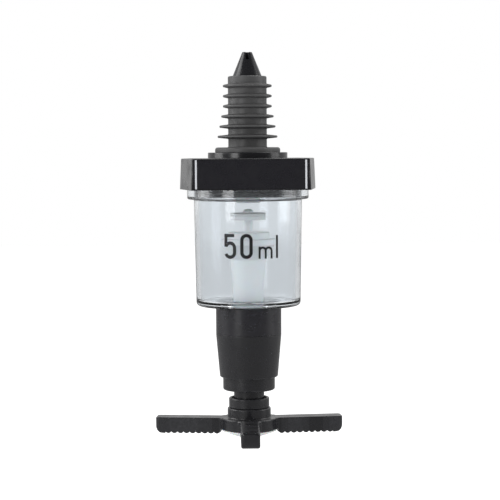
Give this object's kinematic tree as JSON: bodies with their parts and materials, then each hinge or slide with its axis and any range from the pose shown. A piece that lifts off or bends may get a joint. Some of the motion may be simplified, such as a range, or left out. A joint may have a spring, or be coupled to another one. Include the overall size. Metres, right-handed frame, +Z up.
{
  "type": "liquor optic dispenser",
  "caption": "Spirit measure that hangs under an upturned bottle: ribbed cork, six-sided head, clear measuring chamber, dark housing and a swivelling lever that lifts a sprung plunger to pour.",
  "frame": {"origin": "on the vertical axis, in the plane of the head's underside, where a bracket carries it", "axes": "+Z up towards the bottle, -Y the front with the name panel, +X to the right seen from the front"},
  "size_m": [0.0747, 0.0644, 0.1564],
  "materials": {
    "black_plastic": "glossy moulded black plastic",
    "panel_black": "gloss black label stock",
    "stripe_white": "white print",
    "black_rubber": "satin food-safe rubber",
    "pale_rubber": "pale food-safe rubber",
    "white_plastic": "satin white acetal",
    "clear_plastic": "polished clear plastic",
    "steel": "stainless"
  },
  "bodies": {
    "measure_body": {"cork_spigot": "black_plastic", "bottle_cork": "black_rubber", "breather_tube": "steel", "head_cover": "black_plastic", "name_panel": "panel_black", "panel_stripes": "stripe_white", "head_base": "black_plastic", "head_screws": "steel", "inlet_seat": "white_plastic", "spigot_seal": "black_rubber", "chamber_seal": "black_rubber", "air_valve": "black_rubber", "chamber": "clear_plastic", "outlet_seal": "black_rubber", "seat_retainer": "white_plastic", "housing_seal": "black_rubber", "lower_housing": "black_plastic", "label_band": "panel_black", "guide_bush": "black_plastic", "guide_seal": "black_rubber", "return_spring": "steel"},
    "plunger": {"valve_cap": "white_plastic", "inlet_washer": "pale_rubber", "valve_stem": "white_plastic", "displacer": "white_plastic", "outlet_tube": "black_plastic", "lock_collar": "black_plastic", "spout_nozzle": "white_plastic"},
    "lever": {"lever": "black_plastic"}
  },
  "joints": [
    {"name": "plunger_lift", "type": "slide", "parent": "measure_body", "child": "plunger", "axis": [0, 0, 1], "range_m": [0, 0.004], "stiffness_N_per_m": 600, "springref_m": -0.004, "deforming": ["return_spring"]},
    {"name": "lever_swivel", "type": "hinge", "parent": "plunger", "child": "lever", "pos_m": [0, 0, -0.0925], "axis": [0, 0, 1], "continuous": true}
  ]
}
